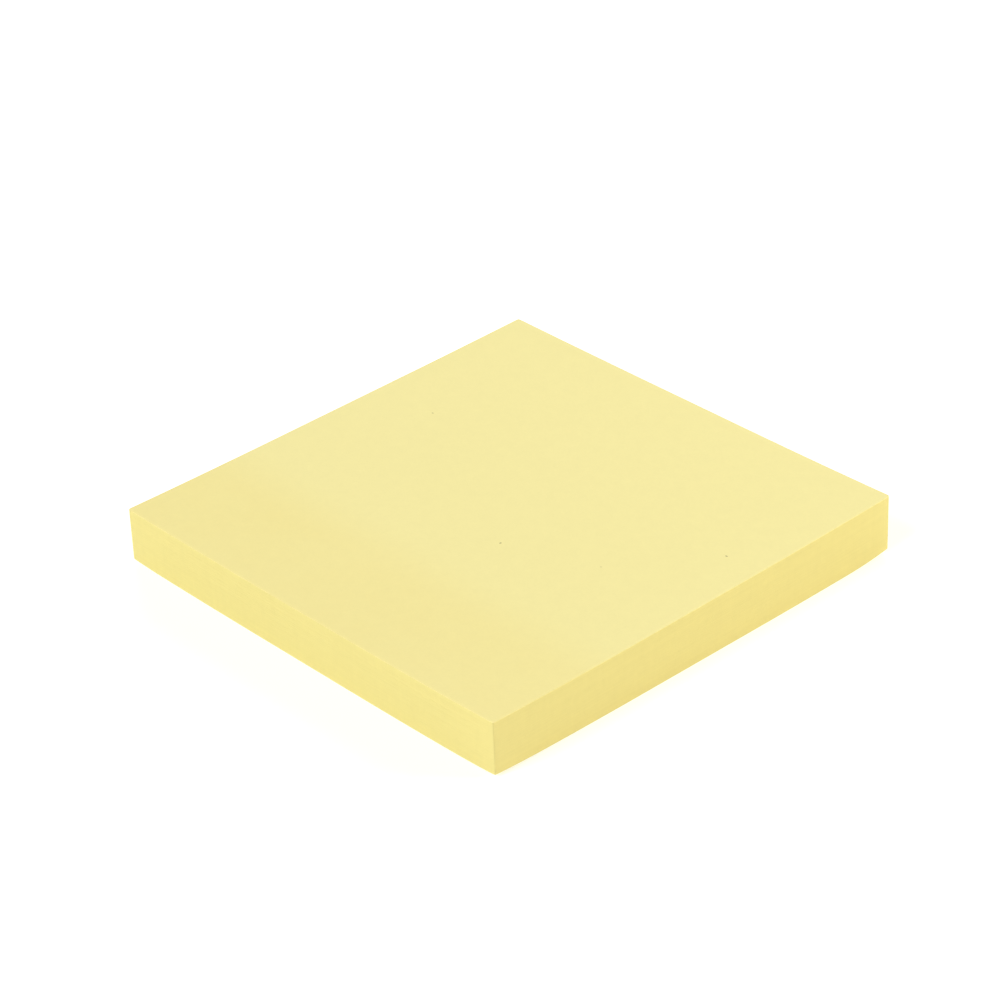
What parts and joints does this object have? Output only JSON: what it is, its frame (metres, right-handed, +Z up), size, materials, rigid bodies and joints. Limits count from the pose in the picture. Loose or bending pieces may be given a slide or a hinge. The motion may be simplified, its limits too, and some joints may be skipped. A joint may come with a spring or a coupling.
{
  "type": "sticky note pad",
  "caption": "Square pad of plain pale yellow notes, glued to each other along one edge and lying on a thin coated backing sheet.",
  "frame": {"origin": "centre of the flat underside, which is the backing sheet's lower face", "axes": "+Z up through the stack of notes, X along the glued edge, +Y from the glued edge towards the free edge that the notes are lifted by"},
  "size_m": [0.076, 0.076, 0.0095],
  "materials": {
    "note_paper": "matte uncoated writing paper, dyed pale yellow",
    "coated_paper": "smooth pale yellow paper with a faint sheen from its release coating"
  },
  "bodies": {
    "root": {"note_sheets": "note_paper", "backing_sheet": "coated_paper"}
  },
  "joints": []
}
